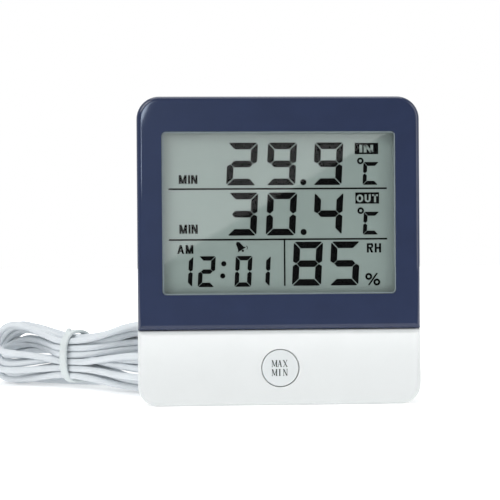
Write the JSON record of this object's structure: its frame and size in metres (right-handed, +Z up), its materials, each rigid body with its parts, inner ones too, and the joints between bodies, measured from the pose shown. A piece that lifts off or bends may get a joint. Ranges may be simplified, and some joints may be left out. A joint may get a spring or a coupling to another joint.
{
  "type": "maximum minimum thermometer",
  "caption": "Desk or wall digital thermometer with maximum and minimum memory, large display, one front key, fold-out stand and a wired outdoor probe on a tied hank of cable.",
  "frame": {"origin": "centre of the case's footprint on the surface it stands on", "axes": "+Z up, +Y towards the back (the display faces -Y), +X to the right seen from the front"},
  "size_m": [0.1665, 0.0898, 0.109],
  "materials": {
    "white_plastic": "fine matte texture",
    "navy_plastic": "semi-gloss moulded",
    "white_gloss": "semi-gloss moulded",
    "clear_lens": "polished acrylic",
    "lcd_face": "satin polariser",
    "reflector_film": "matte film",
    "holder_plastic": "matte",
    "dark_rubber": "matte",
    "board_laminate": "solder mask",
    "black_resin": "smooth resin",
    "plated_metal": "nickel plated",
    "black_plastic": "matte",
    "sensor_plastic": "matte",
    "cell_wrap": "printed film",
    "lead_black": "PVC insulation",
    "lead_red": "PVC insulation",
    "screw_steel": "zinc plated",
    "cable_pvc": "soft PVC with a slight sheen",
    "tie_plastic": "soft PVC",
    "sleeve_rubber": "heat-shrink sleeve",
    "probe_steel": "turned stainless steel",
    "grey_plastic": "satin"
  },
  "bodies": {
    "case": {"rear_case": "white_plastic", "front_bezel": "navy_plastic", "front_lower_panel": "white_gloss", "display_lens": "clear_lens", "lcd_glass": "lcd_face", "lcd_reflector": "reflector_film", "lcd_holder": "holder_plastic", "zebra_connector": "dark_rubber", "circuit_board": "board_laminate", "button_board": "board_laminate", "chip_blob": "black_resin", "quartz_crystal": "plated_metal", "buzzer": "black_plastic", "humidity_sensor": "sensor_plastic", "indoor_thermistor": "black_resin", "max_min_switch": "black_plastic", "mode_switch": "black_plastic", "set_switch": "black_plastic", "unit_switch": "black_plastic", "battery_cell": "cell_wrap", "battery_contact": "plated_metal", "battery_spring": "plated_metal", "battery_lead_negative": "lead_black", "battery_lead_positive": "lead_red", "case_screws": "screw_steel", "board_screws": "screw_steel", "cable_grommet": "cable_pvc", "probe_cable_lead": "cable_pvc", "probe_cable_hank": "cable_pvc", "probe_cable_tail": "cable_pvc", "hank_tie": "tie_plastic", "probe_sleeve": "sleeve_rubber", "probe_tip": "probe_steel"},
    "max_min_key": {"max_min_button": "white_gloss", "max_min_plunger": "black_plastic"},
    "mode_key": {"mode_button": "grey_plastic", "mode_plunger": "black_plastic"},
    "set_key": {"set_button": "grey_plastic", "set_plunger": "black_plastic"},
    "unit_key": {"unit_button": "grey_plastic", "unit_plunger": "black_plastic"},
    "easel_stand": {"stand": "white_plastic"},
    "battery_cover": {"battery_door": "white_plastic"}
  },
  "joints": [
    {"name": "max_min_press", "type": "slide", "parent": "case", "child": "max_min_key", "axis": [0, 1, 0], "range_m": [0, 0.0008], "stiffness_N_per_m": 800, "springref_m": -0.0006},
    {"name": "mode_press", "type": "slide", "parent": "case", "child": "mode_key", "axis": [0, -1, 0], "range_m": [0, 0.0008], "stiffness_N_per_m": 800, "springref_m": -0.0006},
    {"name": "set_press", "type": "slide", "parent": "case", "child": "set_key", "axis": [0, -1, 0], "range_m": [0, 0.0008], "stiffness_N_per_m": 800, "springref_m": -0.0006},
    {"name": "unit_press", "type": "slide", "parent": "case", "child": "unit_key", "axis": [0, -1, 0], "range_m": [0, 0.0008], "stiffness_N_per_m": 800, "springref_m": -0.0006},
    {"name": "stand_fold", "type": "hinge", "parent": "case", "child": "easel_stand", "pos_m": [0, 0.0095, 0.051], "axis": [1, 0, 0], "range_deg": [0, 55]},
    {"name": "battery_door_hinge", "type": "hinge", "parent": "case", "child": "battery_cover", "pos_m": [0.0305, 0.01, 0.0049], "axis": [-1, 0, 0], "range_deg": [0, 90]}
  ]
}
